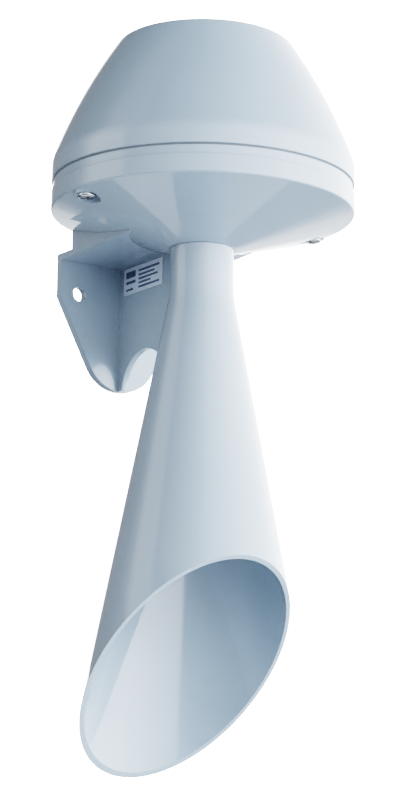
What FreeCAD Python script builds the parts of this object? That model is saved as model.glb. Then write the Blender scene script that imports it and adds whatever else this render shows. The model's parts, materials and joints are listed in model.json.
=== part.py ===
"""Wall-mounted diaphragm signal horn, built as a parametric FreeCAD document.

The horn hangs from a wall bracket: a domed cover closes a round base, and a trumpet with an
obliquely cut mouth leaves the base downwards.  Inside, an electromagnet pulls an armature that
is bolted to a steel diaphragm, and the armature's tab opens a make-and-break contact.

Part frame: +Z up, the wall is the plane Y = 0 and lies on the +Y side, and the origin is midway
between the bracket's two wall holes.  Every piece is drawn in the horn's own frame, whose axis is
the trumpet's and whose height 0 is the lower edge of the base's rim, and is then placed.
Threads are plain cylinders with a small gap.
"""
import FreeCAD, Part
import math
import os
from types import SimpleNamespace

import Sketcher
from FreeCAD import Rotation, Vector

SIZES = {
    # outer form of the base and the cover
    "axis_offset": 66.0,        # wall to horn axis
    "rim_height": 26.2,         # wall holes to the rim's lower edge
    "rim_radius": 65.0,
    "rim_top": 11.7,            # height of the rim's flat top
    "rim_wall": 3.5,
    "step_height": 8.0,         # the rim is set back above this height
    "step_depth": 0.7,
    "edge_radius": 0.8,         # rounding of the housing's outer edges
    "cone_drop": 15.6,          # depth of the conical underside
    "floor_thickness": 3.2,
    "ledge_top": 1.6,           # flat ledge inside the rim, under the cover screws
    "ledge_inner": 51.5,
    "seal_thickness": 0.8,
    "seal_inset": 0.7,
    "seal_width": 1.8,
    "cover_wall": 2.8,
    "skirt_height": 6.5,
    "skirt_blend": 11.8,
    "low_lean": 20.2,           # lean of the cover's side above the skirt, degrees from vertical
    "high_lean": 34.0,          # lean of the cover's side at the shoulder
    "dome_top": 75.8,
    "shoulder_blend": 4.7,
    # cover screws
    "screw_inset": 6.7,         # rim to cover screw axis
    "spot_depth": 1.2,          # spot faces of the cover screws, below the rim's lower edge
    "spot_radius": 5.6,
    "cover_boss_radius": 4.6,
    "cover_boss_height": 13.0,
    "base_boss_radius": 5.6,    # less than screw_inset - step_depth, to stay inside the rim
    "insert_radius": 2.9,
    "insert_length": 9.0,
    "screw_m4": 2.0,            # M4 thread radius
    "head_m4": 4.0,
    "head_m4_height": 3.0,
    "screw_m3": 1.5,            # M3 thread radius
    "head_m3": 2.8,
    "head_m3_height": 2.0,
    "thread_gap": 0.02,
    "hole_gap": 0.25,           # radial play of a screw in a clearance hole
    # trumpet
    "neck_radius": 13.6,
    "collar_radius": 14.6,
    "trumpet_wall": 2.0,
    "neck_length": 14.4,        # straight neck below the base
    "neck_blend": 57.5,
    "flare_angle": 10.92,       # half angle of the trumpet's cone
    "mouth_height": 186.3,      # height of the mouth's plane on the axis, below the rim
    "mouth_angle": 44.1,        # tilt of the mouth's plane
    "lip_radius": 0.2,          # rounding of the mouth's two edges
    "spigot_radius": 11.0,
    "spigot_wall": 2.5,
    "spigot_top": 3.6,          # below the rim's lower edge
    "socket_gap": 0.05,
    "nut_seat": 8.0,            # below the rim's lower edge
    "socket_boss_radius": 20.0,
    "washer_thickness": 0.8,
    "ring_nut_radius": 17.0,
    "ring_nut_height": 3.3,
    "nut_slot_depth": 2.5,
    "nut_slot_width": 3.0,
    "ring_section": 0.58,
    "ring_depth": 12.0,         # the O-ring's height below the rim's lower edge
    "end_play": 0.1,
    # diaphragm stack
    "seat_inner": 36.0,
    "seat_outer": 43.0,
    "seat_top": 3.0,
    "gasket_thickness": 0.8,
    "diaphragm_thickness": 0.4,
    "dish_rise": 1.2,
    "dish_outer": 31.0,
    "dish_inner": 24.0,
    "clamp_thickness": 3.0,
    "clamp_screw_circle": 39.5,
    "blind_depth": 6.6,         # tapped holes in the diaphragm's seat
    "screw_grip": 5.0,          # thread of a clamp screw inside the seat
    # armature and magnet
    "armature_length": 46.0,
    "armature_width": 18.0,
    "armature_thickness": 6.0,
    "stud_washer_radius": 9.0,
    "magnet_gap": 1.0,
    "core_length": 48.0,
    "core_depth": 18.0,
    "core_height": 32.0,
    "yoke_height": 8.0,
    "centre_leg": 14.0,
    "outer_leg": 7.0,
    "bobbin_wall": 1.0,
    "bobbin_flange": 1.3,
    "coil_reach": 10.0,         # how far the coil stands out in front of the core
    "coil_gap": 0.3,
    "bridge_thickness": 2.5,
    "bridge_width": 22.0,
    "bridge_foot": 13.0,
    "core_bolt_spacing": 34.0,
    "nut_m4": 4.04,             # corner radius of an M4 nut
    "nut_m4_height": 3.2,
    # terminal block
    "block_length": 42.0,
    "block_width": 18.0,
    "block_height": 14.0,
    "terminal_pitch": 10.0,
    "well_radius": 3.2,
    "well_depth": 8.0,
    "wire_hole": 1.8,
    "wire_hole_height": 4.3,
    "block_screw_spacing": 34.0,
    "terminal_thread": 2.2,
    # contact breaker
    "pivot_offset": 34.0,       # horn axis to the contact arm's pivot
    "pivot_height": 15.0,
    "pivot_radius": 1.0,
    "pivot_gap": 0.04,
    "arm_width": 7.0,
    "arm_thickness": 1.4,
    "arm_hub": 2.6,
    "arm_reach": 12.0,
    "arm_tail": 2.0,            # arm behind the contact
    "hub_length": 8.0,
    "nose_length": 2.0,
    "nose_gap": 0.1,
    "cheek_gap": 10.0,
    "cheek_thickness": 1.3,
    "frame_width": 32.0,
    "frame_rise": 3.4,          # cheeks' top above the arm's hub
    "cheek_margin": 4.0,        # cheeks' reach past the pivot and past the contact
    "contact_offset": 45.0,
    "contact_radius": 1.6,
    "contact_height": 0.9,
    "block_thickness": 3.0,
    "screw_stand": 2.0,         # shank of the contact screw above its lock nut
    "driver_slot": 0.8,
    "lock_nut": 3.2,            # corner radius of the lock nut
    "tab_width": 6.0,
    "spring_radius": 1.8,
    "spring_wire": 0.3,
    "spring_offset": 39.5,
    # capacitor and earth terminal, standing on the ledge
    "ledge_circle": 53.7,
    "capacitor_radius": 5.3,
    "capacitor_height": 22.0,
    "stud_depth": 3.4,
    "earth_washer_radius": 5.0,
    # wall bracket
    "bracket_width": 64.0,
    "plate_thickness": 4.0,
    "shelf_thickness": 3.0,
    "shelf_depth": 12.0,        # shelf's underside below the rim's lower edge, at the plate
    "shelf_rise": 1.7,          # how much the underside rises towards the trumpet
    "shoulder_depth": 28.3,     # where the plate's sides start to taper
    "plate_depth": 67.4,        # plate's bottom below the rim's lower edge
    "plate_lean": 28.3,         # taper of the plate's sides, degrees from vertical
    "saddle_back": 54.0,        # horn axis to the saddle's rear wall
    "saddle_wall": 3.0,
    "saddle_front": 8.0,
    "rib_thickness": 2.7,
    "rib_clearance": 1.0,
    "notch_radius": 17.5,
    "notch_offset": 41.9,       # horn axis to the notch's centre
    "notch_drop": 1.65,         # the notch's centre below the plate's bottom
    "wall_hole_spacing": 45.0,
    "wall_hole_radius": 3.3,
    "seam_gap": 0.05,
    "bracket_boss_radius": 4.6,
    "bracket_screw_across": 27.0,
    "bracket_screw_back": 42.0,
    "front_screw_across": -12.0,
    "front_screw_back": 51.0,
    "gland_boss_sink": 0.5,     # how far the gland's boss runs into the base
    # rating label
    "label_length": 30.5,
    "label_height": 12.0,
    "label_thickness": 0.3,
    "label_inset": 3.5,
    # cable gland
    "gland_across": 13.0,
    "gland_back": 47.5,
    "gland_boss_radius": 10.0,
    "gland_thread": 7.2,
    "gland_hex": 19.0,          # across flats
    "gland_hex_height": 5.0,
    "gland_cap_height": 9.0,
    "gland_bore": 4.5,
    "gland_washer_height": 1.0,
    "gland_nozzle": 7.6,
    "gland_cap_skin": 1.8,
    "gland_cap_bore": 5.0,
    "cable_bore": 3.5,
    # internal leads
    "lead_radius": 0.8,
    "lead_bend": 6.0,
    "lead_entry": 2.0,          # how far a lead runs into the terminal block
    "lead_inset": 3.0,          # leads behind the coil's front, and in front of the contact
    "lead_run": 12.0,           # straight run of the breaker's lead before the block
}
CLAMP_STATIONS = 10             # clamp screws and bridge screws share one circle
BRIDGE_STATIONS = (0, 5)
BREAKER_STATIONS = (7, 8)
TERMINALS = 3
SPRING_TURNS = 4
EDGE_MATCH = 0.01
CAPACITOR_ANGLE = 225.0
EARTH_ANGLE = 160.0


class Size:
    """A number together with the spreadsheet expression that gives it."""

    def __init__(self, number, text):
        self.number = number
        self.text = text

    def _with(self, other, sign, number, swapped=False):
        other_text = other.text if isinstance(other, Size) else f"({other})"
        pair = (other_text, self.text) if swapped else (self.text, other_text)
        return Size(number, f"({pair[0]} {sign} {pair[1]})")

    def __add__(self, other):
        return self._with(other, "+", self.number + number_of(other))

    def __radd__(self, other):
        return self._with(other, "+", number_of(other) + self.number, True)

    def __sub__(self, other):
        return self._with(other, "-", self.number - number_of(other))

    def __rsub__(self, other):
        return self._with(other, "-", number_of(other) - self.number, True)

    def __mul__(self, other):
        return self._with(other, "*", self.number * number_of(other))

    def __rmul__(self, other):
        return self._with(other, "*", number_of(other) * self.number, True)

    def __truediv__(self, other):
        return self._with(other, "/", self.number / number_of(other))

    def __neg__(self):
        return 0 - self


def number_of(value):
    return value.number if isinstance(value, Size) else float(value)


def sine(angle):
    return Size(math.sin(math.radians(angle.number)), f"sin({angle.text})")


def cosine(angle):
    return Size(math.cos(math.radians(angle.number)), f"cos({angle.text})")


def tangent(angle):
    return Size(math.tan(math.radians(angle.number)), f"tan({angle.text})")


def make_sheet(document, sizes):
    """Put the driving sizes in a spreadsheet and return them by name."""
    sheet = document.addObject("Spreadsheet::Sheet", "Sizes")
    named = {}
    for row, (name, value) in enumerate(sizes.items(), start=1):
        sheet.set(f"A{row}", name)
        sheet.set(f"B{row}", str(value))
        sheet.setAlias(f"B{row}", name)
        named[name] = Size(float(value), f"Sizes.{name}")
    return SimpleNamespace(**named)


doc = FreeCAD.newDocument("signal_horn")
s = make_sheet(doc, SIZES)
nodes = []


# ---------------------------------------------------------------- drawing helpers

def bind(thing, path, size):
    """Set a property through its expression, or directly when it is a plain number."""
    if isinstance(size, Size):
        thing.setExpression(path, size.text)


def place(thing, across, back, height):
    """Put a piece at a point of the horn's frame: back is towards the wall."""
    spots = (across, back - s.axis_offset, height + s.rim_height)
    thing.Placement.Base = Vector(*[number_of(spot) for spot in spots])
    for axis, spot in zip("xyz", spots):
        bind(thing, f"Placement.Base.{axis}", spot)


def new_body(name, across=0, back=0, height=0):
    body = doc.addObject("PartDesign::Body", name)
    place(body, across, back, height)
    nodes.append(body)
    return body


def new_sketch(body, plane, offset=0):
    """A sketch on one of the body's origin planes, moved along the plane's normal."""
    sketch = body.newObject("Sketcher::SketchObject", f"{body.Name}_sketch")
    support = [feature for feature in body.Origin.OriginFeatures if feature.Role == plane]
    sketch.AttachmentSupport = (support[0], "")
    sketch.MapMode = "FlatFace"
    sketch.AttachmentOffset.Base = Vector(0, 0, number_of(offset))
    bind(sketch, "AttachmentOffset.Base.z", offset)
    return sketch


def pin_point(sketch, geometry, point, x, y):
    """Fix one point of a sketch at (x, y)."""
    for kind, value, axis in (("DistanceX", x, -2), ("DistanceY", y, -1)):
        if not isinstance(value, Size) and value == 0:
            sketch.addConstraint(Sketcher.Constraint("PointOnObject", geometry, point, axis))
            continue
        index = sketch.addConstraint(
            Sketcher.Constraint(kind, -1, 1, geometry, point, number_of(value)))
        bind(sketch, f"Constraints[{index}]", value)


def arc_between(start, end, radius):
    """The short arc from start to end: its centre is on the left for a positive radius."""
    chord = end - start
    side = Vector(-chord.y, chord.x, 0).normalize()
    reach = math.sqrt(max(radius * radius - chord.Length ** 2 / 4, 0))
    centre = (start + end) / 2 + side * math.copysign(reach, radius)
    circle = Part.Circle(centre, Vector(0, 0, 1), abs(radius))
    first, last = circle.parameter(start), circle.parameter(end)
    return Part.ArcOfCircle(circle, first, last) if radius > 0 else Part.ArcOfCircle(circle, last, first)


def outline(sketch, corners):
    """Draw a closed outline.  A corner is (x, y), or (x, y, radius) at the end of an arc."""
    points = [Vector(number_of(corner[0]), number_of(corner[1]), 0) for corner in corners]
    count = len(corners)
    first = sketch.GeometryCount
    starts, ends = {}, {}
    for index in range(count):
        target = corners[(index + 1) % count]
        start, end = points[index], points[(index + 1) % count]
        if len(target) == 2:
            sketch.addGeometry(Part.LineSegment(start, end))
            starts[index], ends[index] = 1, 2
            continue
        turn = number_of(target[2])
        sketch.addGeometry(arc_between(start, end, turn))
        starts[index], ends[index] = (1, 2) if turn > 0 else (2, 1)
        radius = target[2] if turn > 0 else -target[2]
        added = sketch.addConstraint(Sketcher.Constraint("Radius", first + index, abs(turn)))
        bind(sketch, f"Constraints[{added}]", radius)
    for index in range(count):
        after = (index + 1) % count
        sketch.addConstraint(Sketcher.Constraint(
            "Coincident", first + index, ends[index], first + after, starts[after]))
        pin_point(sketch, first + index, starts[index], corners[index][0], corners[index][1])


def circle(sketch, x, y, radius):
    centre = Vector(number_of(x), number_of(y), 0)
    index = sketch.addGeometry(Part.Circle(centre, Vector(0, 0, 1), number_of(radius)))
    pin_point(sketch, index, 3, x, y)
    added = sketch.addConstraint(Sketcher.Constraint("Radius", index, number_of(radius)))
    bind(sketch, f"Constraints[{added}]", radius)


def rectangle(sketch, x_low, x_high, y_low, y_high):
    outline(sketch, [(x_low, y_low), (x_high, y_low), (x_high, y_high), (x_low, y_high)])


def hexagon(sketch, x, y, corner_radius):
    half, tall = corner_radius * 0.5, corner_radius * math.sqrt(0.75)
    outline(sketch, [(x + corner_radius, y), (x + half, y + tall), (x - half, y + tall),
                     (x - corner_radius, y), (x - half, y - tall), (x + half, y - tall)])


def turn(body, corners):
    """Revolve an outline of (radius, height) corners about the body's Z axis."""
    sketch = new_sketch(body, "XZ_Plane")
    outline(sketch, corners)
    feature = body.newObject("PartDesign::Revolution", f"{body.Name}_turned")
    feature.Profile = sketch
    feature.ReferenceAxis = (sketch, ["V_Axis"])
    feature.Angle = 360
    return feature


def pad(body, sketch, length, centred=False):
    """Extrude a sketch along its plane's normal."""
    feature = body.newObject("PartDesign::Pad", f"{body.Name}_pad")
    feature.Profile = sketch
    feature.Length = number_of(length)
    bind(feature, "Length", length)
    if centred:
        feature.SideType = "Symmetric"
    return feature


def pocket(body, sketch, length, centred=False):
    """Cut a sketch's area out of the body along its plane's normal."""
    doc.recompute()
    before = body.Shape.Volume
    feature = body.newObject("PartDesign::Pocket", f"{body.Name}_pocket")
    feature.Profile = sketch
    feature.Length = number_of(length)
    bind(feature, "Length", length)
    if centred:
        feature.SideType = "Symmetric"
    else:
        feature.Reversed = True
    doc.recompute()
    if body.Shape.Volume >= before:
        raise RuntimeError(f"{feature.Name} cuts nothing")
    return feature


def fillet(body, radius, wanted):
    """Round the edges of the body's present shape for which wanted(edge) holds."""
    doc.recompute()
    tip = body.Tip
    names = [f"Edge{number}" for number, edge in enumerate(tip.Shape.Edges, start=1) if wanted(edge)]
    if not names:
        raise RuntimeError(f"{body.Name} has no edge to round")
    feature = body.newObject("PartDesign::Fillet", f"{body.Name}_fillet")
    feature.Base = (tip, names)
    feature.Radius = number_of(radius)
    bind(feature, "Radius", radius)
    doc.recompute()
    return feature


def circle_at(radius, height):
    """A test for the full circle of this radius and height about the body's Z axis."""
    def test(edge):
        box = edge.BoundBox
        level = abs(box.ZMax - number_of(height)) < EDGE_MATCH and box.ZLength < EDGE_MATCH
        return level and abs(box.XMax - number_of(radius)) < EDGE_MATCH * 10
    return test


def repeat(body, feature, count):
    """Repeat a feature round the body's Z axis."""
    pattern = body.newObject("PartDesign::PolarPattern", f"{body.Name}_round")
    pattern.Originals = [feature]
    axis = [item for item in body.Origin.OriginFeatures if item.Role == "Z_Axis"]
    pattern.Axis = (axis[0], [""])
    pattern.Angle = 360
    pattern.Occurrences = count
    body.Tip = pattern
    return pattern


def ring(name, inner, outer, bottom, thickness):
    """A flat ring on the horn's axis."""
    body = new_body(name)
    turn(body, [(inner, bottom), (outer, bottom), (outer, bottom + thickness),
                (inner, bottom + thickness)])
    return body


def group(name, pattern_body, spots):
    """Copies of one piece, as separate solids of one node."""
    nodes.remove(pattern_body)
    copies = []
    for number, (across, back, height) in enumerate(spots):
        copy = doc.addObject("App::Link", f"{name}_{number + 1}")
        copy.LinkedObject = pattern_body
        copy.LinkTransform = True
        copy.Placement = FreeCAD.Placement(
            Vector(number_of(across), number_of(back), number_of(height)), Rotation())
        for axis, offset in zip("xyz", (across, back, height)):
            bind(copy, f"Placement.Base.{axis}", offset)
        copies.append(copy)
    joined = doc.addObject("Part::Compound", name)
    joined.Links = copies
    nodes.append(joined)
    return joined


def screw(name, thread, head, head_height, length, height, heads_up=True, across=0, back=0):
    """Pan-head screw: height is that of the face under its head."""
    body = new_body(name, across, back, height)
    sign = 1 if heads_up else -1
    rounding = head_height * 0.4
    corners = [(0, -sign * length), (thread, -sign * length), (thread, 0), (head, 0),
               (head, sign * (head_height - rounding)), (head - rounding, sign * head_height),
               (0, sign * head_height)]
    turn(body, corners)
    return body


# ---------------------------------------------------------------- shared places

cone_slope = s.cone_drop / (s.rim_radius - s.collar_radius)
screw_circle = s.rim_radius - s.screw_inset
cover_bottom = s.rim_top + s.seal_thickness
shelf_top = s.shelf_thickness - s.shelf_depth
plate_front = s.axis_offset - s.plate_thickness
flare_start = s.cone_drop + s.neck_length
flare_slope = tangent(s.flare_angle)
gasket_top = s.seat_top + s.gasket_thickness
upper_gasket_bottom = gasket_top + s.diaphragm_thickness
clamp_bottom = upper_gasket_bottom + s.gasket_thickness
clamp_top = clamp_bottom + s.clamp_thickness
dish_top = upper_gasket_bottom + s.dish_rise
armature_bottom = dish_top + s.washer_thickness
armature_top = armature_bottom + s.armature_thickness
pole_height = armature_top + s.magnet_gap
core_top = pole_height + s.core_height
yoke_bottom = core_top - s.yoke_height
bridge_top = core_top + s.bridge_thickness
block_top = bridge_top + s.block_height
arm_bottom = s.pivot_height - s.arm_thickness / 2
arm_top = s.pivot_height + s.arm_thickness / 2
frame_top = s.pivot_height + s.arm_hub + s.frame_rise
bracket_screws = [(s.bracket_screw_across, s.bracket_screw_back),
                  (-s.bracket_screw_across, s.bracket_screw_back),
                  (s.front_screw_across, s.front_screw_back)]


def underside(radius):
    """Height of the base's conical underside at a radius."""
    return (radius - s.rim_radius) * cone_slope


def floor_top(radius):
    return underside(radius) + s.floor_thickness


def on_circle(radius, degrees):
    """A point of the horn's frame on a circle about its axis."""
    return radius * math.cos(math.radians(degrees)), radius * math.sin(math.radians(degrees))


def station(number):
    return on_circle(s.clamp_screw_circle, 360 / CLAMP_STATIONS * number)


def distance_of(across, back):
    """Distance of a point from the horn's axis."""
    number = math.hypot(number_of(across), number_of(back))
    across_text = across.text if isinstance(across, Size) else f"({across})"
    back_text = back.text if isinstance(back, Size) else f"({back})"
    return Size(number, f"sqrt({across_text}^2 + {back_text}^2)")


# ---------------------------------------------------------------- housing

def base_housing():
    """Cast base: rim, conical floor, diaphragm seat, trumpet socket and all its bosses."""
    body = new_body("base_housing")
    rim_inner = s.rim_radius - s.rim_wall
    socket = s.spigot_radius + s.socket_gap
    setback = s.rim_radius - s.step_depth
    turn(body, [
        (socket, -s.cone_drop), (s.collar_radius, -s.cone_drop), (s.rim_radius, 0),
        (s.rim_radius, s.step_height), (setback, s.step_height), (setback, s.rim_top),
        (rim_inner, s.rim_top), (rim_inner, s.ledge_top), (s.ledge_inner, s.ledge_top),
        (s.ledge_inner, floor_top(s.ledge_inner)), (s.seat_outer, floor_top(s.seat_outer)),
        (s.seat_outer, s.seat_top), (s.seat_inner, s.seat_top),
        (s.seat_inner, floor_top(s.seat_inner)),
        (s.socket_boss_radius, floor_top(s.socket_boss_radius)),
        (s.socket_boss_radius, -s.nut_seat), (socket, -s.nut_seat)])
    fillet(body, s.edge_radius, circle_at(s.rim_radius, 0))
    fillet(body, s.step_depth / 2, circle_at(s.rim_radius, s.step_height))
    sketch = new_sketch(body, "XY_Plane", s.ledge_top / 2)
    for across in (screw_circle, -screw_circle):
        circle(sketch, across, 0, s.base_boss_radius)
    pad(body, sketch, s.rim_top - s.ledge_top / 2)
    for across, back in bracket_screws:
        foot = underside(distance_of(across, back) + s.bracket_boss_radius) + s.seam_gap
        sketch = new_sketch(body, "XY_Plane", foot)
        circle(sketch, across, back, s.bracket_boss_radius)
        pad(body, sketch, s.ledge_top - foot)
    gland_reach = distance_of(s.gland_across, s.gland_back) + s.gland_boss_radius
    sketch = new_sketch(body, "XY_Plane", -s.shelf_depth)
    circle(sketch, s.gland_across, s.gland_back, s.gland_boss_radius)
    pad(body, sketch, underside(gland_reach) + s.shelf_depth + s.gland_boss_sink)
    cut_base_holes(body)
    return body


def cut_base_holes(body):
    """Spot faces, screw holes, the cable hole and the blind holes of the base."""
    sketch = new_sketch(body, "XY_Plane", -s.spot_depth)
    for across in (screw_circle, -screw_circle):
        circle(sketch, across, 0, s.spot_radius)
    pad(body, sketch, s.spot_depth + s.ledge_top / 2)
    sketch = new_sketch(body, "XY_Plane", -s.cone_drop)
    for across in (screw_circle, -screw_circle):
        circle(sketch, across, 0, s.spot_radius)
    pocket(body, sketch, s.cone_drop - s.spot_depth)
    sketch = new_sketch(body, "XY_Plane", -s.cone_drop)
    for across in (screw_circle, -screw_circle):
        circle(sketch, across, 0, s.screw_m4 + s.hole_gap)
    for across, back in bracket_screws:
        circle(sketch, across, back, s.screw_m4 + s.hole_gap)
    circle(sketch, s.gland_across, s.gland_back, s.gland_thread + s.thread_gap)
    pocket(body, sketch, s.cone_drop + s.rim_top)
    sketch = new_sketch(body, "XY_Plane", s.seat_top - s.blind_depth)
    for number in range(CLAMP_STATIONS):
        radius = s.screw_m4 if number in BRIDGE_STATIONS else s.screw_m3
        circle(sketch, *station(number), radius + s.thread_gap)
    pocket(body, sketch, s.blind_depth)
    sketch = new_sketch(body, "XY_Plane", s.ledge_top - s.stud_depth)
    for degrees in (CAPACITOR_ANGLE, EARTH_ANGLE):
        circle(sketch, *on_circle(s.ledge_circle, degrees), s.screw_m4 + s.thread_gap)
    pocket(body, sketch, s.stud_depth)


def cover():
    """Domed cover: a skirt, a blend into a slightly bulging side, a shoulder and a flat top."""
    body = new_body("cover")
    skirt_top = cover_bottom + s.skirt_height
    mean_lean = (s.low_lean + s.high_lean) / 2
    side_foot = (s.rim_radius - s.skirt_blend * (1 - cosine(s.low_lean)),
                 skirt_top + s.skirt_blend * sine(s.low_lean))
    shoulder_height = s.dome_top - s.shoulder_blend * (1 - sine(s.high_lean))
    side_rise = shoulder_height - side_foot[1]
    shoulder = (side_foot[0] - side_rise * tangent(mean_lean), shoulder_height)
    side_radius = side_rise / cosine(mean_lean) / 2 / sine((s.high_lean - s.low_lean) / 2)
    top_radius = shoulder[0] - s.shoulder_blend * cosine(s.high_lean)

    def inside(point, lean):
        return point[0] - s.cover_wall * cosine(lean), point[1] - s.cover_wall * sine(lean)

    inner_foot, inner_shoulder = inside(side_foot, s.low_lean), inside(shoulder, s.high_lean)
    turn(body, [
        (s.rim_radius, cover_bottom), (s.rim_radius, skirt_top),
        (*side_foot, s.skirt_blend), (*shoulder, side_radius),
        (top_radius, s.dome_top, s.shoulder_blend), (0, s.dome_top),
        (0, s.dome_top - s.cover_wall), (top_radius, s.dome_top - s.cover_wall),
        (*inner_shoulder, s.cover_wall - s.shoulder_blend),
        (*inner_foot, s.cover_wall - side_radius),
        (s.rim_radius - s.cover_wall, skirt_top, s.cover_wall - s.skirt_blend),
        (s.rim_radius - s.cover_wall, cover_bottom)])
    fillet(body, s.edge_radius / 2, circle_at(s.rim_radius, cover_bottom))
    sketch = new_sketch(body, "XY_Plane", cover_bottom)
    for across in (screw_circle, -screw_circle):
        circle(sketch, across, 0, s.cover_boss_radius)
    pad(body, sketch, s.cover_boss_height)
    sketch = new_sketch(body, "XY_Plane", cover_bottom)
    for across in (screw_circle, -screw_circle):
        circle(sketch, across, 0, s.insert_radius)
    pocket(body, sketch, s.insert_length + s.hole_gap)
    return body


def cover_seal():
    """Flat rubber ring between base and cover, with an ear round each cover screw."""
    outer = s.rim_radius - s.seal_inset
    body = ring("cover_seal", outer - s.seal_width, outer, s.rim_top, s.seal_thickness)
    sketch = new_sketch(body, "XY_Plane", s.rim_top)
    for across in (screw_circle, -screw_circle):
        circle(sketch, across, 0, s.cover_boss_radius)
    pad(body, sketch, s.seal_thickness)
    sketch = new_sketch(body, "XY_Plane", s.rim_top)
    for across in (screw_circle, -screw_circle):
        circle(sketch, across, 0, s.insert_radius - s.hole_gap)
    pocket(body, sketch, s.seal_thickness)


def cover_fasteners():
    insert = new_body("cover_insert", 0, 0, cover_bottom)
    turn(insert, [(s.screw_m4 + s.thread_gap, 0), (s.insert_radius, 0),
                  (s.insert_radius, s.insert_length), (s.screw_m4 + s.thread_gap, s.insert_length)])
    sides = [(screw_circle, 0, 0), (-screw_circle, 0, 0)]
    group("cover_inserts", insert, sides)
    length = s.spot_depth + cover_bottom + s.insert_length - s.hole_gap
    fastener = screw("cover_screw", s.screw_m4, s.head_m4, s.head_m4_height, length,
                     -s.spot_depth, heads_up=False)
    group("cover_screws", fastener, sides)


# ---------------------------------------------------------------- trumpet

def trumpet():
    """Trumpet with a spigot for the base's socket and a mouth cut by an inclined plane."""
    body = new_body("trumpet")
    blend_drop = s.neck_blend * sine(s.flare_angle)
    blend_out = s.neck_blend * (1 - cosine(s.flare_angle))
    cone_start = flare_start + blend_drop
    tip = s.mouth_height + s.rim_radius
    wall_out = s.trumpet_wall * cosine(s.flare_angle)
    wall_up = s.trumpet_wall * sine(s.flare_angle)
    inner_neck = s.neck_radius - s.trumpet_wall
    cone_top = s.neck_radius + blend_out
    tip_radius = cone_top + (tip - cone_start) * flare_slope
    shoulder = s.cone_drop + s.end_play
    groove = s.spigot_radius - s.ring_section * 2
    groove_half = s.ring_section * 1.5
    bore = s.spigot_radius - s.spigot_wall
    turn(body, [
        (bore, -s.spigot_top), (bore, -s.cone_drop),
        (inner_neck, -s.cone_drop - s.neck_length / 2), (inner_neck, -flare_start),
        (cone_top - wall_out, wall_up * -1 - cone_start, s.neck_blend + s.trumpet_wall),
        (tip_radius - wall_out, wall_up * -1 - tip), (tip_radius, -tip), (cone_top, -cone_start),
        (s.neck_radius, -flare_start, -s.neck_blend), (s.neck_radius, -shoulder),
        (s.spigot_radius, -shoulder), (s.spigot_radius, -s.ring_depth - groove_half),
        (groove, -s.ring_depth - groove_half), (groove, groove_half - s.ring_depth),
        (s.spigot_radius, groove_half - s.ring_depth), (s.spigot_radius, -s.spigot_top)])
    reach = s.rim_radius * 1.2
    drop = reach * tangent(s.mouth_angle)
    below = s.mouth_height * 1.7
    sketch = new_sketch(body, "YZ_Plane")
    outline(sketch, [(-reach, drop - s.mouth_height), (-reach, -below), (reach, -below),
                     (reach, -drop - s.mouth_height)])
    pocket(body, sketch, s.rim_radius * 2.4, centred=True)
    fillet(body, s.lip_radius, lambda edge: edge.BoundBox.ZLength > s.rim_radius.number)


def trumpet_fasteners():
    """O-ring in the spigot's groove, friction washer, and slotted ring nut."""
    seal = doc.addObject("Part::Torus", "trumpet_o_ring")
    major = s.spigot_radius + s.socket_gap / 2 - s.ring_section
    seal.Radius1, seal.Radius2 = number_of(major), s.ring_section.number
    bind(seal, "Radius1", major)
    bind(seal, "Radius2", s.ring_section)
    place(seal, 0, 0, -s.ring_depth)
    nodes.append(seal)
    ring("trumpet_washer", s.spigot_radius + s.hole_gap, s.ring_nut_radius, -s.nut_seat,
         s.washer_thickness)
    bottom = s.washer_thickness - s.nut_seat + s.seam_gap
    nut = ring("trumpet_ring_nut", s.spigot_radius + s.thread_gap, s.ring_nut_radius, bottom,
               s.ring_nut_height)
    sketch = new_sketch(nut, "XY_Plane", bottom + s.ring_nut_height / 2)
    half = s.nut_slot_width / 2
    rectangle(sketch, s.ring_nut_radius - s.nut_slot_depth, s.ring_nut_radius + half, -half, half)
    slot = pocket(nut, sketch, s.ring_nut_height)
    repeat(nut, slot, 4)


# ---------------------------------------------------------------- diaphragm

def clamp_holes(body, height, thickness):
    """The circle of screw holes that all the clamped rings share."""
    sketch = new_sketch(body, "XY_Plane", height)
    for number in range(CLAMP_STATIONS):
        radius = s.screw_m4 if number in BRIDGE_STATIONS else s.screw_m3
        circle(sketch, *station(number), radius + s.hole_gap)
    pocket(body, sketch, thickness)


def diaphragm_stack():
    """Two gaskets with the dished diaphragm between them, and the clamp ring on top."""
    for name, bottom, thickness in (("lower_gasket", s.seat_top, s.gasket_thickness),
                                    ("upper_gasket", upper_gasket_bottom, s.gasket_thickness),
                                    ("clamp_ring", clamp_bottom, s.clamp_thickness)):
        body = ring(name, s.seat_inner, s.seat_outer, bottom, thickness)
        clamp_holes(body, bottom, thickness)
    sheet = new_body("diaphragm")
    bore = s.screw_m4 + s.thread_gap
    high, low = upper_gasket_bottom + s.dish_rise, upper_gasket_bottom
    thick = s.diaphragm_thickness
    turn(sheet, [(bore, high - thick), (s.dish_inner, high - thick), (s.dish_outer, low - thick),
                 (s.seat_outer, low - thick), (s.seat_outer, low), (s.dish_outer, low),
                 (s.dish_inner, high), (bore, high)])
    clamp_holes(sheet, gasket_top, thick)


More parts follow.
